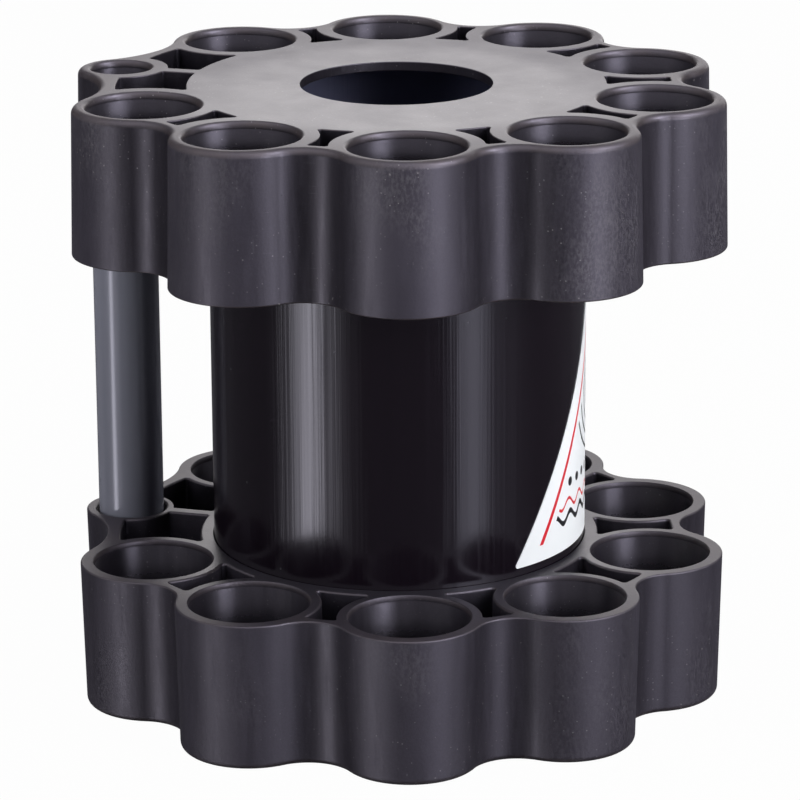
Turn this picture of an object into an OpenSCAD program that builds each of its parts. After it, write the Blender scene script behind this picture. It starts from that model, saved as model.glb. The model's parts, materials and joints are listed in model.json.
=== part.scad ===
// Rod caddy: two scalloped rings of rod sockets on a centre tube, with a handle tube between them.
// Millimetres, +Z up, origin in the middle of the underside, handle towards -X.

/* [Overall] */

// Clear height between the two rings
rings_gap = 134; // [126:1:400]
// Places round each ring, the handle's place included
places = 10; // [8:1:10]

/* [Ring moulding] */

// Height of each ring
ring_h = 63; // [40:1:120]
// Thickness of the plate that closes each ring
plate_t = 4; // [2:0.5:8]
// Diameter of the hole in the plate
plate_hole_d = 80.8; // [20:0.2:120]
// Wall of the collar round the centre tube
collar_wall = 8.15; // [5:0.05:9]
// Thickness of the rim between a pocket and the hollow outside it, at the plate
rim_web = 7; // [4:0.1:9]
// How far a pocket's outer end leans out from the plate to the open face
pocket_lean = 2.6; // [0:0.1:3.5]
// How far the outside leans out from the plate to the open face
outer_lean = 1.3; // [0:0.1:2]
// Rounding of the outer edge at the plate
edge_r = 3; // [0.5:0.25:3]

/* [Rod sockets] */

// Socket diameter just inside its rounded mouth, at the open face
socket_mouth_d = 50; // [44:0.2:52]
// Socket diameter just under the rounded lip at the plate
socket_end_d = 47; // [40:0.2:48]
// Rounding of the socket's lip at the plate
socket_lip_r = 2; // [0.5:0.25:2]
// Rounding of the socket's mouth at the open face
socket_mouth_round = 0.8; // [0.2:0.1:1.5]
// Least wall between a socket's mouth and the seat of the centre tube
socket_web = 5.95; // [4:0.05:9]
// Wall round a socket on the outside of the ring, at the open face
socket_wall = 5.8; // [5:0.1:7]
// Wall round a socket towards the pockets, at the open face
pocket_wall = 4.8; // [3:0.1:6]
// How much thicker that wall gets towards the plate
pocket_wall_lean = 1.5; // [0:0.1:2]
// Radius of the hollow between two rod sockets, at the plate
hollow_r = 23; // [18:0.5:40]

/* [Handle socket] */

// How much further out the handle socket sits than the rod sockets
handle_out = 11.2; // [9:0.1:12.5]
// Play round the handle tube at the mouth of its socket, on the radius
handle_mouth_play = 1.15; // [0.4:0.05:1.5]
// How much narrower than the tube the socket ends, on the radius
handle_end_step = 1.7; // [0.8:0.05:3]
// Rounding of the handle socket's mouth
handle_mouth_round = 1.3; // [0.2:0.1:1.5]
// Wall round the handle socket towards its pockets, at the open face
handle_pocket_wall = 3.3; // [2.5:0.1:5]
// Radius of the hollows beside the handle socket, at the plate
handle_hollow_r = 45; // [35:1:60]
// Thickness of the rib between the handle socket and the collar
rib_t = 6.2; // [3:0.1:9]

/* [Tubes] */

// Outer diameter of the centre tube
centre_tube_d = 159.4; // [140:0.2:160]
// Wall of the centre tube
centre_tube_wall = 4.55; // [2:0.05:8]
// Outer diameter of the handle tube
handle_tube_d = 28.3; // [20:0.1:29]
// Wall of the handle tube
handle_tube_wall = 2.9; // [1.5:0.1:5]

/* [Label] */

// Width of the triangular label along its base
label_w = 149.5; // [60:0.5:160]
// Height of the label
label_h = 118; // [40:1:128]
// Rounding of the label's corners
label_corner_r = 1; // [0.5:0.5:6]
// Thickness of the label
label_t = 0.25; // [0.1:0.05:0.5]
// Height of the label's base above the lower ring
label_lift = 3.4; // [0.4:0.5:10.4]
// Direction that the label faces, counted from +X
label_angle = 16.6; // [-40:0.2:60]

/* [Clearances] */

// Clearance between the centre tube and its seat, on the radius
tube_clearance = 0.15; // [0.05:0.05:0.3]
// Clearance between the handle tube's end and the drafted socket, on the radius
handle_clearance = 0.1; // [0.05:0.05:0.3]
// Layer between the label and the centre tube
label_clearance = 0.03; // [0.03:0.01:0.1]

/* [Hidden] */

black_plastic = [0.13, 0.125, 0.13];
black_pipe = [0.06, 0.058, 0.065];
grey_pipe = [0.33, 0.36, 0.38];
label_white = [0.93, 0.93, 0.92];

// Facets round a tube, a socket and a pocket wall
tube_facets = 96;
socket_facets = 40;
// Facets of a socket's lip, and of the rounded outer edge
lip_steps = 2;
edge_steps = 3;
// Facets along a lobe and a hollow of the scalloped outline
lobe_steps = 16;
hollow_steps = 8;
// Overrun of a cut past the face that it opens
over = 1;

overall_h = 2 * ring_h + rings_gap;
place_step = 360 / places;
seat_r = centre_tube_d / 2 + tube_clearance;
collar_r = seat_r + collar_wall;
// Distances from the middle of the ring to the middle of a rod socket and of the handle socket
socket_circle_r = seat_r + socket_web + socket_mouth_d / 2;
handle_circle_r = socket_circle_r + handle_out;
// Radius of a rod socket's lobe at the plate
lobe_r = socket_mouth_d / 2 + socket_wall - outer_lean;
// The handle socket's lobe reaches as far out as the others
handle_lobe_r = socket_circle_r + lobe_r - handle_circle_r;
pocket_side_r = socket_mouth_d / 2 + pocket_wall;
// Radius of the block that a ring is cut from
block_r = socket_circle_r + lobe_r + outer_lean + 5 * over;
handle_mouth_r = handle_tube_d / 2 + handle_mouth_play;
handle_end_r = handle_tube_d / 2 - handle_end_step;
handle_side_r = handle_mouth_r + handle_pocket_wall;
// Depth at which the drafted socket has narrowed to the handle tube
handle_seat = handle_mouth_round + (ring_h - socket_lip_r - handle_mouth_round)
    * (handle_mouth_play - handle_clearance) / (handle_mouth_play + handle_end_step);

// Place 0 is the handle's, towards -X; the others follow anticlockwise
function is_handle(k) = k % places == 0;
function place_angle(k) = 180 + k * place_step;
function place_r(k) = is_handle(k) ? handle_circle_r : socket_circle_r;
function place_lobe_r(k) = is_handle(k) ? handle_lobe_r : lobe_r;
function place_side_r(k) = is_handle(k) ? handle_side_r : pocket_side_r;
function on_circle(r, a) = r * [cos(a), sin(a)];
function place(k) = on_circle(place_r(k), place_angle(k));
function turn(a, b) = (b - a + 720) % 360;
function heading(v) = atan2(v.y, v.x);

// The hollow after place k is an arc that touches both of its lobes
function after_hollow_r(k) = is_handle(k) || is_handle(k + 1) ? handle_hollow_r : hollow_r;
function hollow_centre(k) =
    let (
        a = place(k),
        b = place(k + 1),
        ra = place_lobe_r(k) + after_hollow_r(k),
        rb = place_lobe_r(k + 1) + after_hollow_r(k),
        span = norm(b - a),
        along = (ra * ra - rb * rb + span * span) / (2 * span),
        u = (b - a) / span
    )
    a + along * u + sqrt(ra * ra - along * along) * [u.y, -u.x];
function hollow_bottom_r(k) = norm(hollow_centre(k)) - after_hollow_r(k);

// Scalloped outline of a ring, moved inwards by inset
function lobe_points(k, inset) =
    let (
        c = place(k),
        a = heading(hollow_centre(k - 1) - c),
        sweep = turn(a, heading(hollow_centre(k) - c))
    )
    [for (i = [0:lobe_steps]) c + on_circle(place_lobe_r(k) - inset, a + sweep * i / lobe_steps)];
function hollow_points(k, inset) =
    let (
        c = hollow_centre(k),
        a = heading(place(k) - c),
        sweep = turn(heading(place(k + 1) - c), a)
    )
    [for (i = [1:hollow_steps - 1]) c + on_circle(after_hollow_r(k) + inset, a - sweep * i / hollow_steps)];
function outline(inset) = [
    for (k = [places:2 * places - 1])
        each concat(lobe_points(k, inset), hollow_points(k, inset))
];

// Levels of the ring's outside: [height, inset], run past the open face and past the plate
ring_levels = concat(
    [[-over, -outer_lean * (1 + over / (ring_h - edge_r))]],
    [for (i = [0:edge_steps])
        let (a = 90 * i / edge_steps)
        [ring_h - edge_r * (1 - sin(a)), edge_r * (1 - cos(a))]],
    [[ring_h + over, edge_r]]
);

// Loft of the outline through all the levels; the ends fan out from their middles
module ring_outside() {
    layers = [for (level = ring_levels) outline(level[1])];
    n = len(layers[0]);
    last = len(layers) - 1;
    foot = (last + 1) * n;
    polyhedron(
        points = concat(
            [for (j = [0:last]) for (p = layers[j]) [p.x, p.y, ring_levels[j][0]]],
            [[0, 0, ring_levels[0][0]], [0, 0, ring_levels[last][0]]]
        ),
        faces = concat(
            [for (i = [0:n - 1]) [foot, i, (i + 1) % n]],
            [for (i = [0:n - 1]) [foot + 1, last * n + (i + 1) % n, last * n + i]],
            [for (j = [0:last - 1]) for (i = [0:n - 1])
                [j * n + i, (j + 1) * n + i, (j + 1) * n + (i + 1) % n, j * n + (i + 1) % n]]
        )
    );
}

// Drafted hole through a ring, its mouth eased at the open face and its lip rounded at the plate
module drafted_hole(mouth_r, end_r, mouth_round) {
    lip_z = ring_h - socket_lip_r;
    rotate_extrude($fn = socket_facets)
        polygon(concat(
            [[0, -over], [mouth_r + mouth_round, -over], [mouth_r + mouth_round, 0]],
            [[mouth_r, mouth_round], [end_r, lip_z]],
            [for (i = [1:lip_steps])
                let (a = 90 * i / lip_steps)
                [end_r + socket_lip_r * (1 - cos(a)), lip_z + socket_lip_r * sin(a)]],
            [[end_r + socket_lip_r, ring_h + over], [0, ring_h + over]]
        ));
}

module rod_socket() {
    drafted_hole(socket_mouth_d / 2, socket_end_d / 2, socket_mouth_round);
}

module handle_socket() {
    drafted_hole(handle_mouth_r, handle_end_r, handle_mouth_round);
}

// Leaning pillar that keeps the wall round place k out of the pockets beside it
module pocket_side(k) {
    lean = pocket_wall_lean / ring_h;
    translate([place(k).x, place(k).y, -2 * over])
        cylinder(
            h = ring_h + 4 * over,
            r1 = place_side_r(k) - lean * 2 * over,
            r2 = place_side_r(k) + pocket_wall_lean + lean * 2 * over,
            $fn = socket_facets
        );
}

// Through pocket between place k and the next, from the collar out to the rim
module pocket(k) {
    end_r = hollow_bottom_r(k) - rim_web;
    lean = pocket_lean / ring_h;
    difference() {
        rotate([0, 0, place_angle(k)])
            rotate_extrude(angle = place_step, $fn = tube_facets)
                polygon([
                    [collar_r, -over],
                    [end_r + pocket_lean + lean * over, -over],
                    [end_r - lean * over, ring_h + over],
                    [collar_r, ring_h + over]
                ]);
        pocket_side(k);
        pocket_side(k + 1);
        if (is_handle(k) || is_handle(k + 1))
            translate([-handle_circle_r, -rib_t / 2, -2 * over])
                cube([handle_circle_r, rib_t, ring_h + 4 * over]);
    }
}

// One ring, open face at z = 0 and plate on top: the cut block, trimmed by the scalloped outside
module ring() {
    intersection() {
        ring_outside();
        difference() {
            cylinder(h = ring_h, r = block_r, $fn = tube_facets);
            translate([0, 0, -over])
                cylinder(h = ring_h - plate_t + over, r = seat_r, $fn = tube_facets);
            cylinder(h = ring_h + over, d = plate_hole_d, $fn = tube_facets);
            for (k = [1:places - 1])
                translate([place(k).x, place(k).y, 0])
                    rod_socket();
            translate([place(0).x, place(0).y, 0])
                handle_socket();
            for (k = [0:places - 1])
                pocket(k);
        }
    }
}

module upper_ring() {
    color(black_plastic)
        translate([0, 0, overall_h - ring_h])
            ring();
}

// The same moulding turned over about the line through the handle socket
module lower_ring() {
    color(black_plastic)
        translate([0, 0, ring_h])
            rotate([180, 0, 0])
                ring();
}

module tube(d, wall, z0, z1) {
    difference() {
        translate([0, 0, z0])
            cylinder(h = z1 - z0, d = d, $fn = tube_facets);
        translate([0, 0, z0 - over])
            cylinder(h = z1 - z0 + 2 * over, d = d - 2 * wall, $fn = tube_facets);
    }
}

// Runs from plate to plate inside the two collars
module centre_tube() {
    color(black_pipe)
        tube(centre_tube_d, centre_tube_wall, plate_t, overall_h - plate_t);
}

// Runs down into both drafted sockets until they narrow to it
module handle_tube() {
    color(grey_pipe)
        translate([place(0).x, place(0).y, 0])
            tube(handle_tube_d, handle_tube_wall, ring_h - handle_seat, overall_h - ring_h + handle_seat);
}

// The label laid flat: a triangle with rounded corners, base on the line t = 0
label_base_angle = atan2(label_h, label_w / 2);
label_corner_s = label_w / 2 - label_corner_r / tan(label_base_angle / 2);
label_tip_t = label_h - label_corner_r / cos(label_base_angle);
function arc_rise(s) = sqrt(max(0, label_corner_r * label_corner_r - s * s));
function label_low(s) = abs(s) < label_corner_s ? 0 : label_corner_r - arc_rise(abs(s) - label_corner_s);
function label_high(s) =
    let (side = label_corner_r * sin(label_base_angle))
    abs(s) < side ? label_tip_t + arc_rise(s) :
    abs(s) < label_corner_s + side ? (label_w / 2 - abs(s)) * tan(label_base_angle) :
    label_corner_r + arc_rise(abs(s) - label_corner_s);

// Stations from the label's middle to its corner, closer together at the rounded ends
label_stations = 20;
label_end_steps = 4;
// Part of a corner's quarter turn that the stations reach
label_corner_sweep = 85;
label_half = concat(
    [for (i = [1:label_end_steps]) label_corner_r * i / label_end_steps],
    [for (i = [1:label_stations])
        label_corner_r + (label_corner_s - label_corner_r) * i / label_stations],
    [for (i = [1:label_end_steps])
        label_corner_s + label_corner_r * sin(label_corner_sweep * i / label_end_steps)]
);
label_columns = concat([for (i = [len(label_half) - 1:-1:0]) -label_half[i]], [0], label_half);

// Wraps the flat label round the centre tube
module label() {
    inner = centre_tube_d / 2 + label_clearance;
    degrees_per_mm = 180 / (PI * centre_tube_d / 2);
    n = len(label_columns);
    color(label_white)
        rotate([0, 0, label_angle])
            translate([0, 0, ring_h + label_lift])
                polyhedron(
                    points = [for (s = label_columns) let (a = s * degrees_per_mm)
                        for (corner = [[inner, label_low(s)], [inner, label_high(s)],
                                       [inner + label_t, label_high(s)], [inner + label_t, label_low(s)]])
                            [corner[0] * cos(a), corner[0] * sin(a), corner[1]]],
                    faces = concat(
                        [[3, 2, 1, 0]],
                        [[for (j = [0:3]) (n - 1) * 4 + j]],
                        [for (i = [0:n - 2]) for (j = [0:3])
                            let (a = i * 4 + j, b = i * 4 + (j + 1) % 4)
                            each [[a, b, b + 4], [a, b + 4, a + 4]]]
                    )
                );
}

upper_ring();
lower_ring();
centre_tube();
handle_tube();
label();
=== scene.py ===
"""Looks of a rod caddy: two scalloped rings on a centre tube, a handle tube and a label."""
import json
import math
from collections import namedtuple

import bpy
import numpy as np
from mathutils import Matrix, Vector, geometry

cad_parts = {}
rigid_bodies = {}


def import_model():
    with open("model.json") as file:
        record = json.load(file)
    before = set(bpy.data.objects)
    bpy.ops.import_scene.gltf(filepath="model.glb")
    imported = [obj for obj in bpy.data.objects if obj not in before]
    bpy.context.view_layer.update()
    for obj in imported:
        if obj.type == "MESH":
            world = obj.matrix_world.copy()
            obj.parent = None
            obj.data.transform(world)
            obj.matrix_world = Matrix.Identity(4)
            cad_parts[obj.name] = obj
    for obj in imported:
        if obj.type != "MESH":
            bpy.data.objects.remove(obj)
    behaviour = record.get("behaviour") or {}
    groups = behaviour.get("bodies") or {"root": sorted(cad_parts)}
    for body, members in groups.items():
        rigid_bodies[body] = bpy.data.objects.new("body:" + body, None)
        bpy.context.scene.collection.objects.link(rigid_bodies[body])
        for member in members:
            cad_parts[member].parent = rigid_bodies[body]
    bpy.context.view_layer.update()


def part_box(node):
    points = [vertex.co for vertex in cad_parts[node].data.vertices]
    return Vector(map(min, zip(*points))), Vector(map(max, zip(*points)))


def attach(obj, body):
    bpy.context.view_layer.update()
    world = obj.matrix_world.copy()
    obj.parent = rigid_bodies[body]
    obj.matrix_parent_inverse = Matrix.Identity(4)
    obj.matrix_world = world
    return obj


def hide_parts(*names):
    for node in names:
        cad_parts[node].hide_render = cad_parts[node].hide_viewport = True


TAU = 2 * math.pi
MM = 0.001

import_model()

# Sizes in millimetres: what the frame gives
_, upper_high = [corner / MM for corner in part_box("upper_ring")]
_, lower_high = [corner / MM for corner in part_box("lower_ring")]
tube_low, tube_high = [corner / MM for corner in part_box("centre_tube")]
handle_low, handle_high = [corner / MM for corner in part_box("handle_tube")]
label_low, label_high = [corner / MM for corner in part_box("label")]
TOTAL_H = upper_high.z
RING_H = lower_high.z
TUBE_R = (tube_high.y - tube_low.y) / 2
HANDLE_R = (handle_high.y - handle_low.y) / 2
HANDLE_X = (handle_low.x + handle_high.x) / 2
PLATE_T = tube_low.z

# Ring moulding
PLACES = 10
PLACE_STEP = TAU / PLACES
OUTER_LEAN = 1.3
EDGE_R = 3.0
OPEN_EDGE = 0.8
RIB_T = 6.2
PLATE_HOLE_R = 40.4
PLATE_HOLE_EDGE = 0.4
SEAT_R = TUBE_R + 0.15
SEAT_EDGE = 0.5
COLLAR_R = SEAT_R + 8.15
COLLAR_LEAN = 2.4

# Pockets; the web is left between a pocket and the hollow outside it
POCKET_LEAN = 2.6
POCKET_CORNER = 1.3
POCKET_EDGE = 0.5
POCKET_MOUTH_EDGE = 1.0
HOLLOW_WEB = 5.34
HANDLE_HOLLOW_WEB = 7.0

# Sockets
SOCKET_MOUTH_R = 25.0
SOCKET_END_R = 23.5
SOCKET_LIP = 2.0
SOCKET_LIP_H = 3.1
SOCKET_MOUTH_EDGE = 0.8
SOCKET_MOUTH_H = 2.4
PILLAR_R = SOCKET_MOUTH_R + 4.8
PILLAR_LEAN = 1.5
HANDLE_MOUTH_R = HANDLE_R + 1.15
HANDLE_END_R = HANDLE_R - 1.7
HANDLE_MOUTH_EDGE = 1.3
HANDLE_PILLAR_R = HANDLE_MOUTH_R + 3.3

# Scalloped outside
LOBE_R = SOCKET_MOUTH_R + 5.8 - OUTER_LEAN
HOLLOW_R = 18.5
HANDLE_HOLLOW_R = 45.0
SOCKET_CIRCLE_R = upper_high.x - LOBE_R - OUTER_LEAN
HANDLE_CIRCLE_R = -HANDLE_X
HANDLE_LOBE_R = SOCKET_CIRCLE_R + LOBE_R - HANDLE_CIRCLE_R
CREST_FULL = 0.85

# Tubes
PIPE_WALL = 4.55
PIPE_EDGE = 0.4
HANDLE_WALL = 2.9
HANDLE_EDGE = 0.3

# Label, laid flat: base along t = 0, middle at s = 0
LABEL_W = 149.5
LABEL_H = label_high.z - label_low.z
LABEL_ANGLE = math.radians(16.6)
LABEL_CORNER = 1.0
LABEL_GAP = 0.03
LABEL_T = 0.25
LABEL_SLOPE = math.atan2(LABEL_H, LABEL_W / 2)

# Fineness of the meshes
LOBE_STEPS = 44
HOLLOW_STEPS = 24
SOCKET_STEPS = 128
TUBE_STEPS = 256
EDGE_STEPS = 14
CORNER_STEPS = 6
ROUND_STEPS = 6
WALL_STEPS = 6
LABEL_STEPS = 96
LABEL_CORNER_STEPS = 12
LABEL_DECIMALS = 2
LABEL_MERGE = 0.005
CAP_MERGE = 1e-7

# Second material of a ring
BORE_SLOT = 1

Loop = namedtuple("Loop", "ids points normals")


class Skin:
    """Collects points, faces and corner normals.

    Of a point, the wear value peaks half-way round rounded edges, which are rubbed there and carry
    a painted highlight, and crest is 1 on the backs of the lobes.
    """

    def __init__(self):
        self.count = 0
        self.points = []
        self.worn = []
        self.crest = []
        self.faces = []
        self.slots = []
        self.normals = []

    def loop(self, flat, z, normals, worn=0.0, crest=0.0):
        points = np.column_stack([flat, np.full(len(flat), z)])
        ids = np.arange(self.count, self.count + len(flat))
        self.count += len(flat)
        self.points.append(points)
        self.worn.append(np.full(len(flat), worn))
        self.crest.append(np.full(len(flat), crest))
        return Loop(ids, points, normals)

    def add(self, faces, normals, slot=0):
        self.faces += faces.tolist()
        self.slots.append(np.full(len(faces), slot))
        self.normals.append(normals.reshape(-1, 3))

    def band(self, low, high, slot=0, closed=True):
        """Quads between two loops of as many points, facing the way of their normals."""
        here = np.arange(len(low.ids) if closed else len(low.ids) - 1)
        there = (here + 1) % len(low.ids)
        corners = ((low, here), (low, there), (high, there), (high, here))
        faces = np.stack([loop.ids[i] for loop, i in corners], axis=1)
        normals = np.stack([loop.normals[i] for loop, i in corners], axis=1)
        along = low.points[there] - low.points[here]
        rise = high.points[here] - low.points[here]
        if np.sum(np.cross(along, rise) * (low.normals[here] + high.normals[here])) < 0:
            faces, normals = faces[:, ::-1], normals[:, ::-1]
        self.add(faces, normals, slot)

    def cap(self, outer, holes, facing):
        """Fills the flat region between an outer loop and its holes."""
        loops = [outer] + holes
        ids = np.concatenate([loop.ids for loop in loops])
        flat = np.concatenate([loop.points[:, :2] for loop in loops])
        edges = []
        start = 0
        for loop in loops:
            count = len(loop.ids)
            edges += [(start + i, start + (i + 1) % count) for i in range(count)]
            start += count
        made = geometry.delaunay_2d_cdt([Vector(p) for p in flat], edges, [], 0, CAP_MERGE)
        triangles = np.array([[made[3][v][0] for v in face] for face in made[2]])
        middles = flat[triangles].mean(axis=1)
        keep = inside(middles, outer.points)
        for hole in holes:
            keep &= ~inside(middles, hole.points)
        triangles = triangles[keep]
        a, b, c = [flat[triangles[:, i]] for i in range(3)]
        turn = (b[:, 0] - a[:, 0]) * (c[:, 1] - a[:, 1]) - (b[:, 1] - a[:, 1]) * (c[:, 0] - a[:, 0])
        wrong = turn * facing < 0
        triangles[wrong] = triangles[wrong][:, ::-1]
        self.add(ids[triangles], np.tile([0.0, 0.0, facing], (len(triangles), 3, 1)))

    def mesh(self, name, points=None, normals=None):
        """Makes the object, in metres, with every corner's own normal."""
        points = np.concatenate(self.points) if points is None else points
        normals = np.concatenate(self.normals) if normals is None else normals
        data = bpy.data.meshes.new(name)
        data.from_pydata((points * MM).tolist(), [], self.faces)
        data.polygons.foreach_set("use_smooth", [True] * len(self.faces))
        data.polygons.foreach_set("material_index", np.concatenate(self.slots))
        for key, values in (("worn", self.worn), ("crest", self.crest)):
            layer = data.attributes.new(key, "FLOAT", "POINT")
            layer.data.foreach_set("value", np.concatenate(values))
        normals = normals / np.linalg.norm(normals, axis=1)[:, None]
        data.normals_split_custom_set(normals.tolist())
        data.update()
        made = bpy.data.objects.new(name, data)
        bpy.context.scene.collection.objects.link(made)
        return made


def inside(points, polygon):
    """Which points lie inside a closed polygon. The rise of a level side has no effect."""
    x, y = points[:, 0][:, None], points[:, 1][:, None]
    x0, y0 = polygon[:, 0], polygon[:, 1]
    x1, y1 = np.roll(x0, -1), np.roll(y0, -1)
    spans = (y0 > y) != (y1 > y)
    rise = np.where(y1 == y0, 1.0, y1 - y0)
    crossed = spans & (x < (x1 - x0) * (y - y0) / rise + x0)
    return crossed.sum(axis=1) % 2 == 1


def polar(radius, angle):
    return radius * np.array([math.cos(angle), math.sin(angle)])


def heading(v):
    return math.atan2(v[1], v[0])


def arc(centre, radius, start, sweep, steps, out):
    """Points and normals of an arc, without its last point.

    The normals point away from its centre where out is 1, and towards it where out is -1.
    """
    angles = start + sweep * np.arange(steps) / steps
    rays = np.stack([np.cos(angles), np.sin(angles)], axis=1)
    return centre + radius * rays, out * rays


def joined(parts):
    return np.concatenate([p for p, _ in parts]), np.concatenate([n for _, n in parts])


# The ring's outline: lobes round the sockets and hollows between them, arcs that touch each other
def is_handle(k):
    return k % PLACES == 0


def by_handle(k):
    """Whether the hollow or pocket after place k is beside the handle socket."""
    return is_handle(k) or is_handle(k + 1)


def place(k):
    return polar(HANDLE_CIRCLE_R if is_handle(k) else SOCKET_CIRCLE_R, math.pi + k * PLACE_STEP)


def lobe_r(k):
    return HANDLE_LOBE_R if is_handle(k) else LOBE_R


def hollow_r(k):
    return HANDLE_HOLLOW_R if by_handle(k) else HOLLOW_R


def hollow_centre(k):
    a, b = place(k), place(k + 1)
    ra, rb = lobe_r(k) + hollow_r(k), lobe_r(k + 1) + hollow_r(k)
    span = np.linalg.norm(b - a)
    along = (ra * ra - rb * rb + span * span) / (2 * span)
    u = (b - a) / span
    return a + along * u + math.sqrt(ra * ra - along * along) * np.array([u[1], -u[0]])


def outline(z, depth):
    """The scalloped outside at a height, set back into the plastic by depth."""
    back = depth - OUTER_LEAN * (1 - min(z, RING_H - EDGE_R) / (RING_H - EDGE_R))
    parts = []
    for k in range(PLACES):
        lobe, dip = place(k), hollow_centre(k)
        start = heading(hollow_centre(k - 1) - lobe)
        sweep = (heading(dip - lobe) - start) % TAU
        parts.append(arc(lobe, lobe_r(k) - back, start, sweep, LOBE_STEPS, 1))
        start = heading(lobe - dip)
        sweep = (start - heading(place(k + 1) - dip)) % TAU
        parts.append(arc(dip, hollow_r(k) + back, start, -sweep, HOLLOW_STEPS, -1))
    return joined(parts)


def outline_crest():
    """1 on the back of every lobe, falling to 0 where it turns into a hollow."""
    rise = np.sin(math.pi * np.arange(LOBE_STEPS) / LOBE_STEPS)
    share = np.clip(rise / CREST_FULL, 0, 1)
    smooth = share * share * (3 - 2 * share)
    return np.tile(np.concatenate([smooth, np.zeros(HOLLOW_STEPS)]), PLACES)


def socket(centre, mouth_r, end_r, mouth_edge):
    """Outline function of a drafted round hole."""
    run = RING_H - SOCKET_LIP - mouth_edge

    def at(z, depth):
        share = min(max((z - mouth_edge) / run, 0), 1)
        radius = mouth_r + (end_r - mouth_r) * share + depth
        return arc(centre, radius, 0, TAU, SOCKET_STEPS, -1)

    return at


def meet(a, b, gap, near):
    """Point at a distance gap from two edges, the one closest to near.

    An edge is (centre, radius, side), or the y of a straight one.
    """
    if not isinstance(a, tuple):
        a, b = b, a
    centre, radius, side = a
    radius += side * gap
    if isinstance(b, tuple):
        other, other_r, other_side = b
        other_r += other_side * gap
        span = np.linalg.norm(other - centre)
        along = (radius**2 - other_r**2 + span**2) / (2 * span)
        u = (other - centre) / span
        up = math.sqrt(max(radius**2 - along**2, 0)) * np.array([-u[1], u[0]])
        found = [centre + along * u + up, centre + along * u - up]
    else:
        y = b + math.copysign(gap, b)
        run = math.sqrt(radius**2 - (y - centre[1]) ** 2)
        found = [np.array([centre[0] - run, y]), np.array([centre[0] + run, y])]
    return min(found, key=lambda p: np.linalg.norm(p - near))


def touch(edge, point):
    """Where a corner's circle round point touches the edge."""
    if isinstance(edge, tuple):
        centre, radius, _ = edge
        ray = point - centre
        return centre + radius * ray / np.linalg.norm(ray)
    return np.array([point[0], edge])


def short_turn(a, b):
    return (b - a + math.pi) % TAU - math.pi


def along_edge(edge, start, end):
    """Points and normals of an edge between two places on it, without the last."""
    if isinstance(edge, tuple):
        centre, radius, side = edge
        a = heading(start - centre)
        return arc(centre, radius, a, short_turn(a, heading(end - centre)), EDGE_STEPS, side)
    shares = np.arange(EDGE_STEPS)[:, None] / EDGE_STEPS
    return start + (end - start) * shares, np.tile([0, math.copysign(1, edge)], (EDGE_STEPS, 1))


def pocket(k):
    """Outline function of the through pocket after place k, with rounded corners.

    Its edges are the rim, one wall, the collar and the other wall, and a rib beside the handle.
    """
    hollow_bottom = np.linalg.norm(hollow_centre(k)) - hollow_r(k)
    rim_low = hollow_bottom - (HANDLE_HOLLOW_WEB if by_handle(k) else HOLLOW_WEB)
    middle = polar((COLLAR_R + hollow_bottom) / 2, math.pi + (k + 0.5) * PLACE_STEP)

    def at(z, depth):
        share = z / RING_H
        origin = np.zeros(2)
        walls = []
        for j in (k, k + 1):
            pillar = HANDLE_PILLAR_R if is_handle(j) else PILLAR_R
            walls.append((place(j), pillar + PILLAR_LEAN * share - depth, 1))
        rim = (origin, rim_low + POCKET_LEAN * (1 - share) + depth, -1)
        collar = (origin, COLLAR_R - COLLAR_LEAN * (1 - share) - depth, 1)
        edges = [rim, walls[1], collar, walls[0]]
        rib_y = math.copysign(RIB_T / 2 - depth, middle[1])
        if is_handle(k):
            edges.insert(3, rib_y)
        if is_handle(k + 1):
            edges.insert(2, rib_y)
        corner = POCKET_CORNER + depth
        following = edges[1:] + edges[:1]
        corners = [meet(a, b, corner, middle) for a, b in zip(edges, following)]
        parts = []
        for i, edge in enumerate(edges):
            end = touch(edge, corners[i])
            parts.append(along_edge(edge, touch(edge, corners[i - 1]), end))
            a = heading(end - corners[i])
            sweep = short_turn(a, heading(touch(following[i], corners[i]) - corners[i]))
            parts.append(arc(corners[i], corner, a, sweep, CORNER_STEPS, -1))
        return joined(parts)

    return at


def raised(flat_normals, across, up):
    return np.column_stack([flat_normals * across, np.full(len(flat_normals), up)])


def even(radius):
    """Width and height of an edge rounded alike both ways."""
    return radius, radius


def rounding(width, height, a):
    """Drop below a face, set-back and normal (across, up) at an angle round an edge."""
    across, up = math.cos(a) / width, math.sin(a) / height
    size = math.hypot(across, up)
    return height * (1 - math.sin(a)), width * (1 - math.cos(a)), across / size, up / size


def wall(skin, shape, open_edge, plate_edge, slot=0, crest=0.0):
    """Lofts a shape from the open face to the plate; an edge is its rounding's width and height.

    The slot is for the straight part. Returns the loops on the two faces.
    """
    levels = []
    # Each rounding's middle is rubbed most, and carries a painted highlight there too.
    for i in range(ROUND_STEPS + 1):
        a = math.pi / 2 * (1 - i / ROUND_STEPS)
        z, depth, across, up = rounding(*open_edge, a)
        levels.append((z, depth, across, -up, math.sin(2 * a)))
    low, high = open_edge[1], RING_H - plate_edge[1]
    for i in range(1, WALL_STEPS):
        levels.append((low + (high - low) * i / WALL_STEPS, 0, 1, 0, 0))
    for i in range(ROUND_STEPS + 1):
        a = math.pi / 2 * i / ROUND_STEPS
        drop, depth, across, up = rounding(*plate_edge, a)
        levels.append((RING_H - drop, depth, across, up, math.sin(2 * a)))
    loops = []
    for z, depth, across, up, worn in levels:
        flat, flat_normals = shape(z, depth)
        loops.append(skin.loop(flat, z, raised(flat_normals, across, up), worn, crest))
    for i, (low, high) in enumerate(zip(loops, loops[1:])):
        straight = ROUND_STEPS <= i < ROUND_STEPS + WALL_STEPS
        skin.band(low, high, slot if straight else 0)
    return loops[0], loops[-1]


def circle(radius):
    return arc(np.zeros(2), radius, 0, TAU, TUBE_STEPS, -1)


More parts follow.
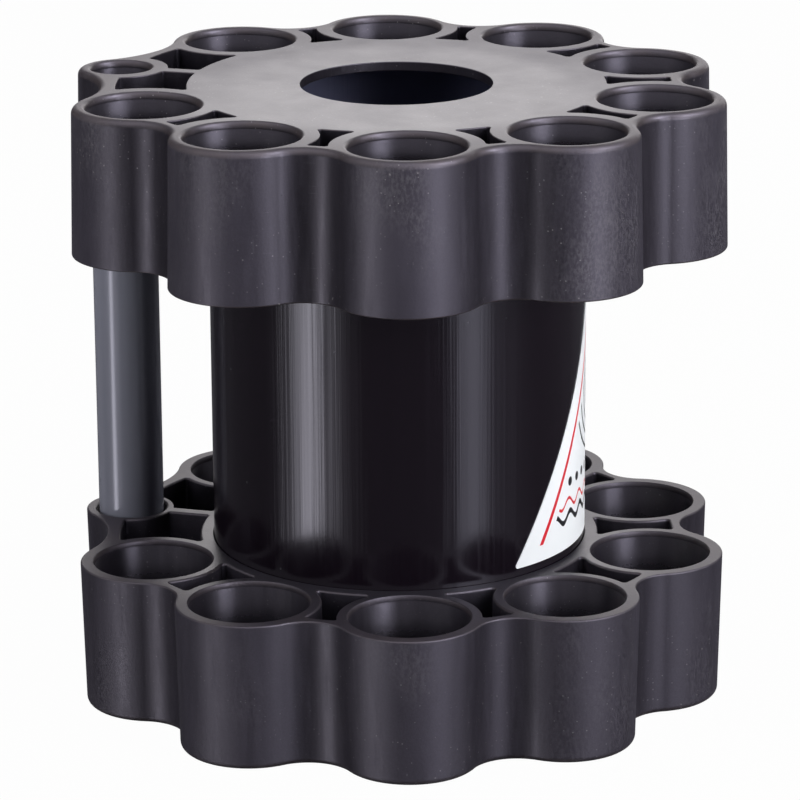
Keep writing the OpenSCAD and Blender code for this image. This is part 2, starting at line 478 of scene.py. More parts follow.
def seat(skin):
    """The bore that takes the centre tube and the round hole through the plate."""
    shelf_z = RING_H - PLATE_T
    levels = []
    for i in range(ROUND_STEPS + 1):
        a = math.pi / 2 * i / ROUND_STEPS
        radius = SEAT_R + SEAT_EDGE * (1 - math.sin(a))
        levels.append((radius, SEAT_EDGE * (1 - math.cos(a)), math.sin(a), -math.cos(a)))
    levels.append((SEAT_R, shelf_z, 1, 0))
    levels.append((SEAT_R, shelf_z, 0, -1))
    for edge_z, turn in ((shelf_z, -1), (RING_H, 1)):
        rounds = range(ROUND_STEPS + 1) if turn > 0 else range(ROUND_STEPS, -1, -1)
        for i in rounds:
            a = math.pi / 2 * i / ROUND_STEPS
            radius = PLATE_HOLE_R + PLATE_HOLE_EDGE * (1 - math.cos(a))
            z = edge_z - turn * PLATE_HOLE_EDGE * (1 - math.sin(a))
            levels.append((radius, z, math.cos(a), turn * math.sin(a)))
    loops = []
    for i, (radius, z, across, up) in enumerate(levels):
        flat, rays = circle(radius)
        normals = raised(rays, across, up)
        if loops and levels[i - 1][:2] == (radius, z):
            loops.append(loops[-1]._replace(normals=normals))
            continue
        loops.append(skin.loop(flat, z, normals))
        if len(loops) > 1:
            skin.band(loops[-2], loops[-1])
    return loops[0], loops[-1]


def ring_skin():
    skin = Skin()
    outer = wall(skin, outline, even(OPEN_EDGE), even(EDGE_R), 0, outline_crest())
    holes = []
    for k in range(PLACES):
        if is_handle(k):
            bore = socket(place(k), HANDLE_MOUTH_R, HANDLE_END_R, HANDLE_MOUTH_EDGE)
            mouth = even(HANDLE_MOUTH_EDGE)
        else:
            bore = socket(place(k), SOCKET_MOUTH_R, SOCKET_END_R, SOCKET_MOUTH_EDGE)
            mouth = (SOCKET_MOUTH_EDGE, SOCKET_MOUTH_H)
        holes.append(wall(skin, bore, mouth, (SOCKET_LIP, SOCKET_LIP_H), BORE_SLOT))
        holes.append(wall(skin, pocket(k), even(POCKET_MOUTH_EDGE), even(POCKET_EDGE)))
    holes.append(seat(skin))
    skin.cap(outer[0], [hole[0] for hole in holes], -1)
    skin.cap(outer[1], [hole[1] for hole in holes], 1)
    return skin


def make_rings():
    """The same moulding twice: plate up at the top, and turned over at the bottom."""
    skin = ring_skin()
    points, normals = np.concatenate(skin.points), np.concatenate(skin.normals)
    lifted = points + [0, 0, TOTAL_H - RING_H]
    upper = skin.mesh("upper_ring_moulding", lifted, normals)
    turned_over = points * [1, -1, -1] + [0, 0, RING_H]
    lower = skin.mesh("lower_ring_moulding", turned_over, normals * [1, -1, -1])
    return upper, lower


def tube_mesh(name, centre_x, outer_r, wall_t, low, high, edge):
    """A tube with slightly broken edges, lathed round its own axis."""
    skin = Skin()
    loops = []
    centre = np.array([centre_x, 0])
    inner_r = outer_r - wall_t
    corners = [(outer_r, high, 0), (inner_r, high, 1), (inner_r, low, 2), (outer_r, low, 3)]
    for radius, z, quarter in corners:
        middle_r = radius + (-edge if quarter in (0, 3) else edge)
        middle_z = z + (-edge if quarter < 2 else edge)
        for i in range(ROUND_STEPS + 1):
            a = math.pi / 2 * (quarter + i / ROUND_STEPS)
            across, up = math.cos(a), math.sin(a)
            flat, rays = arc(centre, middle_r + edge * across, 0, TAU, TUBE_STEPS, 1)
            loops.append(skin.loop(flat, middle_z + edge * up, raised(rays, across, up)))
    for low_loop, high_loop in zip(loops, loops[1:] + loops[:1]):
        skin.band(low_loop, high_loop)
    return skin.mesh(name)


def label_outline():
    """The rounded triangle's outline, anticlockwise."""
    foot = LABEL_W / 2 - LABEL_CORNER / math.tan(LABEL_SLOPE / 2)
    tip = LABEL_H - LABEL_CORNER / math.cos(LABEL_SLOPE)
    corners = [(-foot, LABEL_CORNER), (foot, LABEL_CORNER), (0, tip)]
    starts = [math.pi / 2 + LABEL_SLOPE, -math.pi / 2, math.pi / 2 - LABEL_SLOPE]
    sweeps = [math.pi - LABEL_SLOPE, math.pi - LABEL_SLOPE, 2 * LABEL_SLOPE]
    parts = []
    for centre, start, sweep in zip(corners, starts, sweeps):
        angles = start + sweep * np.linspace(0, 1, LABEL_CORNER_STEPS + 1)
        rays = np.stack([np.cos(angles), np.sin(angles)], axis=1)
        parts.append(np.array(centre) + LABEL_CORNER * rays)
    return np.concatenate(parts)


def label_rows():
    """Places across the label with the lowest and the highest point of its outline there."""
    edge = label_outline()
    left, right = edge[edge[:, 0].argmin()], edge[edge[:, 0].argmax()]
    columns = np.concatenate([edge[:, 0], np.linspace(left[0], right[0], LABEL_STEPS + 1)])
    columns = np.unique(np.round(columns, LABEL_DECIMALS))
    columns = columns[(columns > left[0] + LABEL_MERGE) & (columns < right[0] - LABEL_MERGE)]
    following = np.roll(edge, -1, axis=0)
    rows = [(left[0], left[1], left[1])]
    for s in columns:
        crossed = (edge[:, 0] <= s) != (following[:, 0] <= s)
        a, b = edge[crossed], following[crossed]
        hits = a[:, 1] + (b[:, 1] - a[:, 1]) * (s - a[:, 0]) / (b[:, 0] - a[:, 0])
        rows.append((s, hits.min(), hits.max()))
    rows.append((right[0], right[1], right[1]))
    return np.array(rows).T


def make_label():
    """The label bent round the centre tube: front, back, and the rim above and below."""
    s, low, high = label_rows()
    angle = LABEL_ANGLE + s / TUBE_R
    rays = np.stack([np.cos(angle), np.sin(angle)], axis=1)
    up = np.tile([0.0, 0.0, 1.0], (len(s), 1))
    out = np.column_stack([rays, np.zeros(len(s))])
    inner, outer = TUBE_R + LABEL_GAP, TUBE_R + LABEL_GAP + LABEL_T
    skin = Skin()
    strips = [
        (outer, low, outer, high, out),
        (inner, low, inner, high, -out),
        (inner, high, outer, high, up),
        (inner, low, outer, low, -up),
    ]
    for first_r, first_t, last_r, last_t, normals in strips:
        first = skin.loop(rays * first_r, label_low.z + first_t, normals)
        last = skin.loop(rays * last_r, label_low.z + last_t, normals)
        skin.band(first, last, closed=False)
    return skin.mesh("printed_label")


# Usual values of a noise, and the share of a speck's radius that is full
NOISE_RANGE = (0.3, 0.7)
SPECK_CORE = 0.6


class Nodes:
    """A node tree, with short calls for the nodes used here."""

    def __init__(self, tree):
        self.tree = tree
        self.tree.nodes.clear()

    def node(self, kind, **settings):
        made = self.tree.nodes.new(kind)
        for key, value in settings.items():
            setattr(made, key, value)
        return made

    def link(self, source, target):
        self.tree.links.new(source, target)

    def feed(self, target, value):
        if isinstance(value, bpy.types.NodeSocket):
            self.link(value, target)
        else:
            target.default_value = value

    def math(self, operation, a, b=0.0):
        made = self.node("ShaderNodeMath", operation=operation)
        self.feed(made.inputs[0], a)
        self.feed(made.inputs[1], b)
        return made.outputs[0]

    def plus(self, a, b):
        return self.math("ADD", a, b)

    def minus(self, a, b):
        return self.math("SUBTRACT", a, b)

    def times(self, a, b):
        return self.math("MULTIPLY", a, b)

    def over(self, a, b):
        return self.math("DIVIDE", a, b)

    def larger(self, a, b):
        return self.math("MAXIMUM", a, b)

    def smaller(self, a, b):
        return self.math("MINIMUM", a, b)

    def length(self, a, b):
        return self.math("SQRT", self.plus(self.times(a, a), self.times(b, b)))

    def parts(self, vector):
        made = self.node("ShaderNodeSeparateXYZ")
        self.link(vector, made.inputs[0])
        return made.outputs["X"], made.outputs["Y"], made.outputs["Z"]

    def joined(self, x, y, z):
        made = self.node("ShaderNodeCombineXYZ")
        for target, value in zip(made.inputs, (x, y, z)):
            self.feed(target, value)
        return made.outputs[0]

    def span(self, value, low, high, to_low=0.0, to_high=1.0):
        """Maps low to to_low and high to to_high, and holds those beyond."""
        made = self.node("ShaderNodeMapRange")
        self.feed(made.inputs["Value"], value)
        limits = {"From Min": low, "From Max": high, "To Min": to_low, "To Max": to_high}
        for key, number in limits.items():
            made.inputs[key].default_value = number
        return made.outputs["Result"]

    def spread(self, noise, low, high):
        """Spreads the usual values of a noise from low to high."""
        return self.span(noise, *NOISE_RANGE, low, high)

    def swing(self, noise, amount):
        """A noise turned into a swing about zero."""
        return self.spread(noise, -amount, amount)

    def mix(self, share, a, b, kind="RGBA"):
        made = self.node("ShaderNodeMix", data_type=kind)
        self.feed(made.inputs["Factor"], share)
        self.feed(made.inputs["A"], a)
        self.feed(made.inputs["B"], b)
        return made.outputs["Result"]

    def blend(self, share, a, b):
        return self.mix(share, a, b, "FLOAT")

    def either(self, share, a, b):
        """One shader or the other, by a share."""
        made = self.node("ShaderNodeMixShader")
        self.feed(made.inputs["Fac"], share)
        self.link(a.outputs[0], made.inputs[1])
        self.link(b.outputs[0], made.inputs[2])
        return made

    def show(self, shader, output="ShaderNodeOutputMaterial"):
        self.link(shader.outputs[0], self.node(output).inputs["Surface"])


class Plastic(Nodes):
    """The material of a piece: its shader, and textures in the object's own place."""

    def __init__(self, name):
        self.material = bpy.data.materials.new(name)
        self.material.use_nodes = True
        super().__init__(self.material.node_tree)
        self.shader = self.node("ShaderNodeBsdfPrincipled")
        self.show(self.shader)
        self.place = self.node("ShaderNodeTexCoord").outputs["Object"]

    def set(self, name, value):
        self.feed(self.shader.inputs[name], value)

    def attribute(self, name):
        return self.node("ShaderNodeAttribute", attribute_name=name).outputs["Fac"]

    def upright(self, rise):
        """The place with its height scaled, which stretches a texture upright or flattens it."""
        made = self.node("ShaderNodeMapping")
        self.link(self.place, made.inputs["Vector"])
        made.inputs["Scale"].default_value = (1, 1, rise)
        return made.outputs["Vector"]

    def noise(self, vector, scale, detail=2.0, roughness=0.5):
        made = self.node("ShaderNodeTexNoise")
        self.link(vector, made.inputs["Vector"])
        made.inputs["Scale"].default_value = scale
        made.inputs["Detail"].default_value = detail
        made.inputs["Roughness"].default_value = roughness
        return made.outputs["Fac"]

    def specks(self, vector, scale, radius, share, where):
        """Round specks, their radius in cells, in a share of the cells and where a mask allows."""
        cells = self.node("ShaderNodeTexVoronoi")
        self.link(vector, cells.inputs["Vector"])
        cells.inputs["Scale"].default_value = scale
        dot = self.span(cells.outputs["Distance"], radius, radius * SPECK_CORE)
        chosen = self.math("GREATER_THAN", self.parts(cells.outputs["Color"])[0], 1 - share)
        return self.times(self.times(dot, chosen), where)

    def bump(self, height, distance, strength, under=None):
        made = self.node("ShaderNodeBump")
        self.link(height, made.inputs["Height"])
        made.inputs["Distance"].default_value = distance
        made.inputs["Strength"].default_value = strength
        if under is not None:
            self.link(under, made.inputs["Normal"])
        return made.outputs["Normal"]


def colour(r, g, b):
    return (r, g, b, 1.0)


def turned(v):
    """A vector of the camera's own frame, which looks along +Y, in the row frame."""
    c, s = math.cos(CAMERA_TURN), math.sin(CAMERA_TURN)
    return Vector((c * v.x - s * v.y, s * v.x + c * v.y, v.z))


def towards(azimuth, elevation=0.0):
    """Direction from the object, with azimuth counted to the right of the camera."""
    a, e = math.radians(azimuth), math.radians(elevation)
    return turned(Vector((math.sin(a) * math.cos(e), -math.cos(a) * math.cos(e), math.sin(e))))


# Ring plastic
# The lift from RING_DARK towards RING_LIGHT is painted light and shade, apart from the flow and
# grain that vary it at random.
RING_DARK = colour(0.0090, 0.0078, 0.0106)
RING_LIGHT = colour(0.0266, 0.0240, 0.0322)
RING_CHALK = colour(0.0740, 0.0700, 0.0780)
# Rubbed plastic, a lighter brown-grey: partly wear, partly a painted highlight on rounded edges.
RING_RUB_AND_SHEEN = colour(0.0440, 0.0340, 0.0320)
RING_DUST = colour(0.2200, 0.2100, 0.2100)
RING_TINT = colour(1.0, 0.955, 1.0)
FLOW_TONE = (-0.10, 0.30)
GRAIN_TONE = (-0.15, 0.25)
# Bores are lifted towards the lighter tone: painted light in the bores.
BORE_PAINTED_LIGHT = 0.7
CHALK_MOST = 0.65
MARK_MOST = 0.45

# Roughness of the outside and the plate
CREST_ROUGH = 0.44
HOLLOW_ROUGH = 0.38
RUB_SWING = 0.06
GRIT_SWING = 0.05
CHALK_DULL = 0.08
RIM_ROUGH = 0.50
PLATE_ROUGH = (0.34, 0.40)
PLATE_TILT = 0.03
SWIRL_RINGS = 14
PLATE_DULL = 0.05

# Gloss of the bores
BORE_SWING = 0.04
BORE_DEEP_ROUGH = 0.22
BORE_GLOSS = 0.85
BORE_TURNED = 0.95

# Stretches over which a look changes: with the slope, from the axis, towards the back, down a bore
FLAT_UP = (0.6, 0.9)
RIM_REACH = (80 * MM, 132 * MM)
PLATE_OUTER_REACH = (64 * MM, 78 * MM)
DULL_BEHIND = (-40 * MM, 20 * MM)
TILT_BEHIND = (-80 * MM, 80 * MM)
BORE_FADE = (6 * MM, 11.5 * MM)

# What differs between the lower ring and the upper ring
# The lower ring's smaller tone lift is painted shade on it.
PAINTED_LIGHT_TONE = (0.28, 0.70)
CHALK_SHARE = (0.50, 1.0)
RUB_AND_SHEEN_SHARE = (0.50, 1.0)
DUST_SHARE = (0.40, 0.65)
SIDE_DULL = (0.07, 0.0)
BORE_ROUGH = (0.37, 0.47)
BORE_FADE_SCALE = (0.64, 1.0)

Spot = namedtuple("Spot", "x y z upper flat reach rim crest worn")


def ring_spot(g):
    """Where on a ring a point lies: flat face, rim outside the plate, crest, or rubbed edge with a
    painted highlight.
    """
    x, y, z = g.parts(g.place)
    upper = g.math("GREATER_THAN", z, TOTAL_H * MM / 2)
    up = g.parts(g.node("ShaderNodeNewGeometry").outputs["Normal"])[2]
    reach = g.length(x, y)
    rim = g.span(reach, *RIM_REACH)
    flat = g.span(up, *FLAT_UP)
    return Spot(x, y, z, upper, flat, reach, rim, g.attribute("crest"), g.attribute("worn"))


def ring_tone(g, spot, painted_light_lift):
    """The plastic's tone with flow marks and fine grain, and painted light: lighter on up-facing
    faces, crests and bores, and darker in the hollows and on the lower ring as painted shade.
    """
    flow = g.noise(g.upright(0.15), scale=42, detail=4, roughness=0.6)
    grain = g.noise(g.place, scale=1100, detail=2, roughness=0.6)
    uneven = g.plus(g.spread(flow, *FLOW_TONE), g.spread(grain, *GRAIN_TONE))
    tone = g.plus(g.times(painted_light_lift, g.blend(spot.upper, *PAINTED_LIGHT_TONE)), uneven)
    return g.mix(tone, RING_DARK, RING_LIGHT)


def ring_chalk(g, spot, grit):
    """Share of chalk: patches on the crests, and scuffs and streaks anywhere."""
    patch = g.noise(g.upright(0.45), scale=26, detail=3, roughness=0.55)
    patches = g.times(g.span(patch, 0.46, 0.66), g.span(grit, 0.42, 0.62))
    scuffed, streaked = g.span(grit, 0.35, 0.55), g.span(grit, 0.35, 0.6)
    scuffs = g.specks(g.upright(14), scale=70, radius=0.20, share=0.16, where=scuffed)
    streaks = g.specks(g.upright(0.07), scale=520, radius=0.16, share=0.14, where=streaked)
    marks = g.times(g.larger(scuffs, streaks), MARK_MOST)
    chalk = g.times(g.larger(g.times(patches, spot.crest), marks), CHALK_MOST)
    return g.times(chalk, g.blend(spot.upper, *CHALK_SHARE))


def ring_rub_and_sheen(g, spot):
    """Share of rubbed plastic on rounded edges and the flat rim: partly wear, partly a painted
    highlight on the edges.
    """
    rub_and_sheen_mask = g.larger(spot.worn, g.times(spot.rim, spot.flat))
    uneven = g.span(g.noise(g.place, scale=70, detail=3), 0.35, 0.7, 0.35, 0.9)
    return g.times(g.times(rub_and_sheen_mask, uneven), g.blend(spot.upper, *RUB_AND_SHEEN_SHARE))


def ring_dust(g, spot):
    """Share of dust, in specks of two sizes that lie in clusters."""
    clusters = g.span(g.noise(g.place, scale=22), 0.42, 0.62)
    fine = g.specks(g.place, scale=560, radius=0.20, share=0.24, where=clusters)
    coarse = g.specks(g.place, scale=230, radius=0.12, share=0.06, where=clusters)
    return g.times(g.larger(fine, coarse), g.blend(spot.upper, *DUST_SHARE))


def bore_gloss(g, spot, rub):
    """Gloss drawn out upright, as turned core pins leave it, and narrower and darker with depth."""
    within = g.minus(spot.z, g.times(spot.upper, (TOTAL_H - RING_H) * MM))
    depth = g.smaller(within, g.minus(RING_H * MM, within))
    fade = g.span(g.times(depth, g.blend(spot.upper, *BORE_FADE_SCALE)), *BORE_FADE)
    mouth = g.plus(g.blend(spot.upper, *BORE_ROUGH), g.swing(rub, BORE_SWING))
    g.set("Roughness", g.blend(fade, mouth, BORE_DEEP_ROUGH))
    g.set("Anisotropic", BORE_TURNED)
    g.set("Specular IOR Level", BORE_GLOSS)
    g.set("Tangent", g.joined(0.0, 0.0, 1.0))


def plate_rough(g, spot):
    """Roughness of the end plate: swirls round the middle, and duller behind and near the rim."""
    cosine, sine = g.over(spot.x, spot.reach), g.over(spot.y, spot.reach)
    around = g.joined(cosine, sine, g.times(spot.reach, SWIRL_RINGS))
    swirl = g.noise(around, scale=3.2, detail=4, roughness=0.6)
    away = towards(180)
    behind = g.plus(g.times(spot.x, away.x), g.times(spot.y, away.y))
    tilt = g.span(behind, *TILT_BEHIND, -PLATE_TILT, PLATE_TILT)
    rough = g.plus(g.spread(swirl, *PLATE_ROUGH), tilt)
    dull = g.span(behind, *DULL_BEHIND, 0.0, PLATE_DULL)
    return g.plus(rough, g.times(g.span(spot.reach, *PLATE_OUTER_REACH), dull))


def side_rough(g, spot, rub, grit):
    """Roughness of the upright sides: duller on crests than in hollows, and on the lower ring."""
    rough = g.plus(g.blend(spot.crest, HOLLOW_ROUGH, CREST_ROUGH), g.swing(rub, RUB_SWING))
    rough = g.plus(rough, g.blend(spot.upper, *SIDE_DULL))
    return g.plus(rough, g.swing(grit, GRIT_SWING))


def ring_plastic(name, bored):
    """Satin moulded black, for the bores or for all the rest of a ring."""
    g = Plastic(name)
    spot = ring_spot(g)
    grit = g.noise(g.upright(0.55), scale=900, detail=3, roughness=0.7)
    rub = g.noise(g.upright(0.12), scale=300, detail=3, roughness=0.6)
    # Painted light lifts the tone on crests, up-facing faces and bores; the hollows stay dark as
    # painted shade.
    base = ring_tone(g, spot, BORE_PAINTED_LIGHT if bored else g.larger(spot.crest, spot.flat))
    chalk = ring_chalk(g, spot, grit)
    base = g.mix(chalk, base, RING_CHALK)
    base = g.mix(ring_rub_and_sheen(g, spot), base, RING_RUB_AND_SHEEN)
    g.set("Base Color", g.mix(ring_dust(g, spot), base, RING_DUST))
    g.set("Specular Tint", RING_TINT)
    if bored:
        bore_gloss(g, spot, rub)
    else:
        face_rough = g.blend(spot.rim, plate_rough(g, spot), RIM_ROUGH)
        rough = g.blend(spot.flat, side_rough(g, spot, rub, grit), face_rough)
        g.set("Roughness", g.plus(rough, g.times(chalk, CHALK_DULL)))
    fine = g.noise(g.place, scale=900, detail=3, roughness=0.6)
    g.set("Normal", g.bump(fine, distance=0.08 * MM, strength=0.6))
    return g.material


# Plastic of the tubes; PIPE_BLACK_T is how far in from its outside the pipe is black
PIPE_BLACK = colour(0.0058, 0.0038, 0.0064)
# Inside the pipe, a pale blue that is a painted reflection.
PIPE_INSIDE_PAINTED_SHEEN = colour(0.0850, 0.0900, 0.1600)
PIPE_DUST = colour(0.1000, 0.1000, 0.1100)
PIPE_DUST_MOST = 0.8
PIPE_BLACK_T = 2.0
PIPE_ROUGH = (0.123, 0.223)
PIPE_INSIDE_ROUGH = 0.55
HANDLE_DARK = colour(0.1630, 0.1670, 0.2070)
HANDLE_LIGHT = colour(0.1890, 0.1930, 0.2380)
HANDLE_ROUGH = (0.05, 0.13)


def pipe_plastic():
    """Extruded gloss black with fine lines along it and a little dust; dull inside, and paler and
    bluish there as a painted reflection.
    """
    g = Plastic("extruded_black")
    x, y, _ = g.parts(g.place)
    within = g.math("LESS_THAN", g.length(x, y), (TUBE_R - PIPE_BLACK_T) * MM)
    clusters = g.span(g.noise(g.place, scale=25), 0.4, 0.6)
    dust = g.specks(g.place, scale=230, radius=0.11, share=0.05, where=clusters)
    base = g.mix(within, PIPE_BLACK, PIPE_INSIDE_PAINTED_SHEEN)
    g.set("Base Color", g.mix(g.times(dust, PIPE_DUST_MOST), base, PIPE_DUST))
    fine = g.noise(g.upright(0.003), scale=900, detail=3, roughness=0.75)
    broad = g.noise(g.upright(0.01), scale=150, detail=3)
    drawn = g.times(fine, g.span(broad, 0.35, 0.65, 0.2, 1.0))
    g.set("Roughness", g.blend(within, g.spread(fine, *PIPE_ROUGH), PIPE_INSIDE_ROUGH))
    waves = g.bump(broad, distance=0.12 * MM, strength=0.5)
    g.set("Normal", g.bump(drawn, distance=0.14 * MM, strength=0.8, under=waves))
    return g.material


def handle_plastic():
    """Extruded grey with a satin gloss."""
    g = Plastic("extruded_grey")
    flow = g.noise(g.upright(0.05), scale=160, detail=3)
    g.set("Base Color", g.mix(g.spread(flow, 0.0, 1.0), HANDLE_DARK, HANDLE_LIGHT))
    fine = g.noise(g.upright(0.01), scale=1100)
    g.set("Roughness", g.spread(fine, *HANDLE_ROUGH))
    g.set("Normal", g.bump(fine, distance=0.02 * MM, strength=0.4))
    return g.material


# Print on the label, in millimetres; t is the height above the label's base
LABEL_WHITE = colour(0.830, 0.855, 0.885)
INK_BLACK = colour(0.012, 0.012, 0.014)
INK_RED = colour(0.640, 0.010, 0.018)
VINYL_ROUGH = (0.30, 0.38)
PRINT_SOFT = 0.10
PRINT_MARGIN = 7.0
WAVE_MARGIN = 14.0
WAVE_SWING = 2.0
WAVE_LENGTH = 13.0
BLACK_WAVE_T = 14.0
BLACK_WAVE_HALF = 1.2
RED_WAVE_T = 20.0
RED_WAVE_HALF = 0.7
RED_WAVE_SHIFT = 0.8
DOTS_T = 29.0
DOTS_STEP = 8.0
DOT_R = 2.0
RIPPLE_T = 62.0
RIPPLE_STEP = 6.0
RIPPLE_HALF = 0.7
RIPPLE_REACH = 30.0
BORDER_INSET = 9.5
BORDER_HALF = 1.0


def label_vinyl():
    """White vinyl with a plain print of lines, waves, dots and ripples."""
    g = Plastic("printed_vinyl")
    x, y, z = g.parts(g.place)
    s = g.times(g.minus(g.math("ARCTAN2", y, x), LABEL_ANGLE), TUBE_R)
    t = g.minus(g.times(z, 1 / MM), label_low.z)
    side_run = g.times(g.minus(LABEL_W / 2, g.math("ABSOLUTE", s)), math.sin(LABEL_SLOPE))
    side = g.minus(side_run, g.times(t, math.cos(LABEL_SLOPE)))

    def within(value, half):
        return g.span(g.math("ABSOLUTE", value), half + PRINT_SOFT, half - PRINT_SOFT)

    def repeated(value, step):
        """Distance from the middle of each step."""
        return g.times(g.minus(g.math("FRACT", g.over(value, step)), 0.5), step)

    def wave(height, shift, half):
        phase = g.plus(g.times(s, TAU / WAVE_LENGTH), shift)
        line = g.plus(g.times(g.math("SINE", phase), WAVE_SWING), height)
        return within(g.minus(t, line), half)

    from_dot = g.length(repeated(s, DOTS_STEP), g.minus(t, DOTS_T))
    dots = g.span(from_dot, DOT_R + PRINT_SOFT, DOT_R - PRINT_SOFT)
    ripple = g.length(s, g.minus(t, RIPPLE_T))
    near = g.math("LESS_THAN", ripple, RIPPLE_REACH)
    ripples = g.times(within(repeated(ripple, RIPPLE_STEP), RIPPLE_HALF), near)
    room = g.math("GREATER_THAN", g.smaller(side, t), PRINT_MARGIN)
    middle = g.math("GREATER_THAN", side, WAVE_MARGIN)
    black = g.larger(wave(BLACK_WAVE_T, 0.0, BLACK_WAVE_HALF), g.larger(ripples, dots))
    border = within(g.minus(side, BORDER_INSET), BORDER_HALF)
    red = g.larger(g.times(wave(RED_WAVE_T, RED_WAVE_SHIFT, RED_WAVE_HALF), middle), border)
    base = g.mix(g.times(g.times(black, middle), room), LABEL_WHITE, INK_BLACK)
    g.set("Base Color", g.mix(g.times(red, room), base, INK_RED))
    g.set("Roughness", g.spread(g.noise(g.place, scale=240), *VINYL_ROUGH))
    return g.material


def dress(piece, materials, node):
    for material in materials:
        piece.data.materials.append(material)
    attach(piece, "root")
    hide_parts(node)


# Camera, in the row frame and millimetres; the focal length is in pixels of the picture
CAMERA_AWAY = 1767.1
CAMERA_HEIGHT = 661.9
CAMERA_TURN = math.radians(15.9012)
CAMERA_YAW = math.radians(0.0243)
CAMERA_PITCH = math.radians(17.0140)
CAMERA_ROLL = math.radians(-0.3305)
CAMERA_FOCAL = 4319.31
PICTURE_SIZE = 800
SENSOR = 36.0
CAMERA_CLIP = (0.05, 50)


def make_camera():
    data = bpy.data.cameras.new("camera")
    data.sensor_width = SENSOR
    data.lens = CAMERA_FOCAL / PICTURE_SIZE * SENSOR
    data.clip_start, data.clip_end = CAMERA_CLIP
    level, drop = math.cos(CAMERA_PITCH), math.sin(CAMERA_PITCH)
    forward = Vector((math.sin(CAMERA_YAW) * level, math.cos(CAMERA_YAW) * level, -drop))
    right = Vector((math.cos(CAMERA_YAW), -math.sin(CAMERA_YAW), 0))
    up = right.cross(forward)
    c, s = math.cos(CAMERA_ROLL), math.sin(CAMERA_ROLL)
    axes = [turned(c * right + s * up), turned(c * up - s * right), turned(-forward)]
    spot = turned(Vector((0, -CAMERA_AWAY, CAMERA_HEIGHT))) * MM
    rows = [[axes[0][i], axes[1][i], axes[2][i], spot[i]] for i in range(3)]
    made = bpy.data.objects.new("camera", data)
    bpy.context.scene.collection.objects.link(made)
    made.matrix_world = Matrix(rows + [[0, 0, 0, 1]])
    bpy.context.scene.camera = made


# Studio, in metres and degrees
COOL = colour(0.89, 0.87, 1.0)
COOLER = colour(0.86, 0.85, 1.04)
PLAIN = colour(1.0, 0.97, 0.98)
WHITE = colour(1.0, 1.0, 1.0)
LAMP_AWAY = 1.6
LAMP_WIDTH = 0.7
LAMP_HEIGHT = 1.0
CARD_AWAY = 2.0
CARD_LOW = -45
CARD_TOP = -3
CARD_HIGH = 35
FLOOR_REACH = 12
FLOOR_DROP = 0.0002
FLOOR_GREY = colour(0.55, 0.55, 0.55)
FLOOR_WHITE = 0.98
AMBIENT = 0.02
GLOSS_LOW = 0.09
GLOSS_FRONT = 0.90
GLOSS_TOP = 2.50
GLOSS_BACK = 0.05
TOP_LEAN = (0.45, 0.75)
BACK_LEAN = (0.0, 0.7)
LEVEL_LEAN = (-0.08, 0.12)

# Lamps: azimuth, elevation and level
LAMPS = {
    "left_lamp": (-60, 15, 0.56),
    "right_lamp": (52, 12, 1.09),
    "back_left_lamp": (-140, 20, 0.25),
    "back_right_lamp": (135, 20, 0.40),
}

# Cards: azimuth, half width, low and high end, strength, tint, share that fades on each side
CARDS = {
    "left_card_core": (-55.5, 12, CARD_LOW, CARD_TOP, 5.3, COOL, 0.5),
    "left_card_halo": (-52, 30, CARD_LOW, CARD_TOP, 1.4, COOL, 0.5),
    "right_card_core": (45, 15, CARD_LOW, CARD_TOP, 1.8, COOLER, 0.5),
    "right_card_halo": (60, 30, CARD_LOW, CARD_TOP, 0.26, COOLER, 0.5),
    "right_card_high": (43, 20, CARD_TOP, CARD_HIGH, 9.4, COOLER, 0.5),
    "right_card_top": (68, 22, CARD_HIGH, 60, 20.0, COOLER, 0.5),
    "back_card": (172, 32, 6, 40, 2.35, PLAIN, 0.3),
}


def lamp(name, azimuth, elevation, level):
    """A soft lamp that faces the object; level is what it adds to a white card that faces it."""
    data = bpy.data.lights.new(name, "AREA")
    data.shape = "RECTANGLE"
    data.size, data.size_y = LAMP_WIDTH, LAMP_HEIGHT
    data.energy = level * math.pi * math.pi * LAMP_AWAY * LAMP_AWAY
    made = bpy.data.objects.new(name, data)
    bpy.context.scene.collection.objects.link(made)
    target = Vector((0, 0, TOTAL_H * MM / 2))
    back = towards(azimuth, elevation)
    made.location = target + back * LAMP_AWAY
    made.rotation_euler = back.to_track_quat("Z", "Y").to_euler()
    made.visible_camera = False
    made.visible_glossy = False


def sheet(name, corners):
    """A sheet of four corners in metres, and the empty nodes of its own material."""
    data = bpy.data.meshes.new(name)
    data.from_pydata(corners, [], [(0, 1, 2, 3)])
    made = bpy.data.objects.new(name, data)
    bpy.context.scene.collection.objects.link(made)
    material = bpy.data.materials.new(name)
    material.use_nodes = True
    data.materials.append(material)
    return made, Nodes(material.node_tree)


